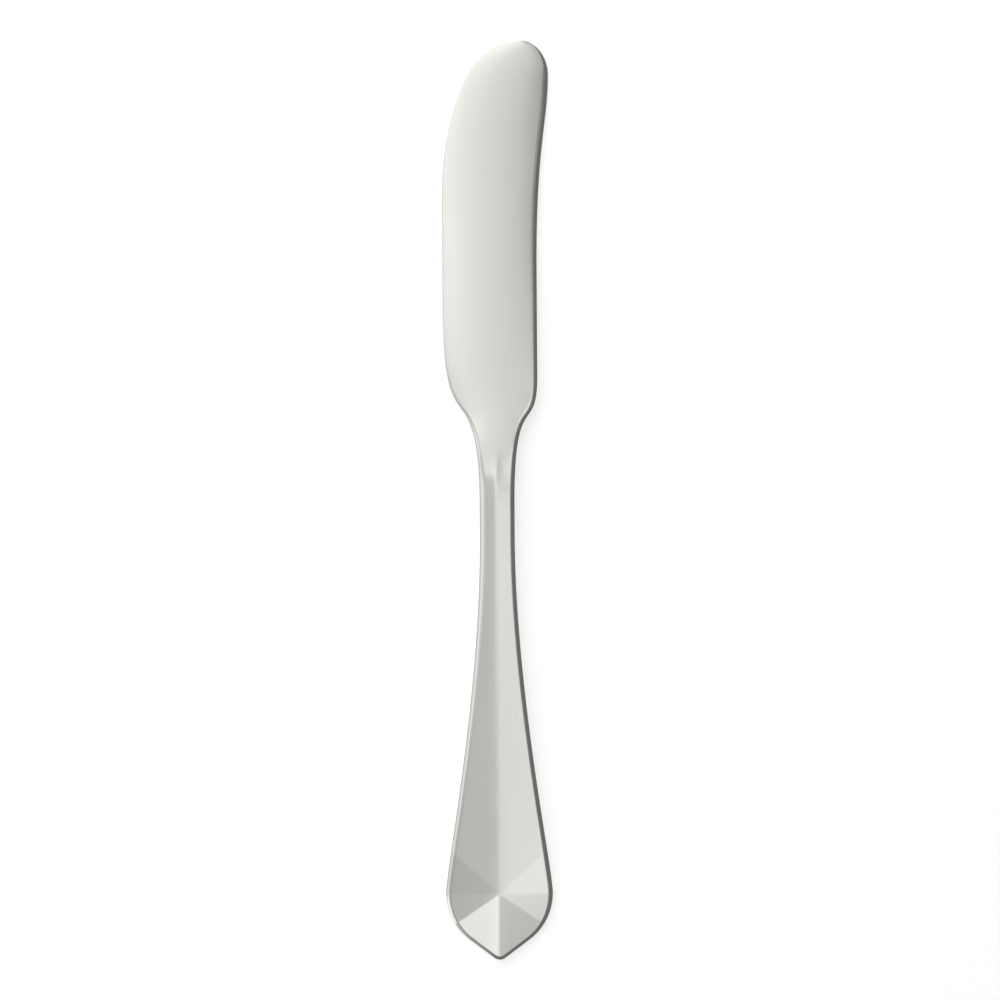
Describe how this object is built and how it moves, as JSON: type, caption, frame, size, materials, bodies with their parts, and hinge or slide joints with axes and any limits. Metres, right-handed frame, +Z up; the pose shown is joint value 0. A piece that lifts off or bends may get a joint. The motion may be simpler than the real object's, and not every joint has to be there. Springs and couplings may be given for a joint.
{
  "type": "butter knife",
  "caption": "Butter knife with a round-nosed spreading blade, a narrow neck and a ridged handle that widens to a faceted, bluntly pointed end.",
  "frame": {"origin": "on the flat back, below the middle of the knife's length and width", "axes": "+Y from the handle's point to the blade's tip, +X towards the spine, +Z up out of the worked front face"},
  "size_m": [0.0198, 0.17, 0.0035],
  "materials": {
    "silver_metal": "satin polish, silver-coloured"
  },
  "bodies": {
    "root": {"knife": "silver_metal"}
  },
  "joints": []
}
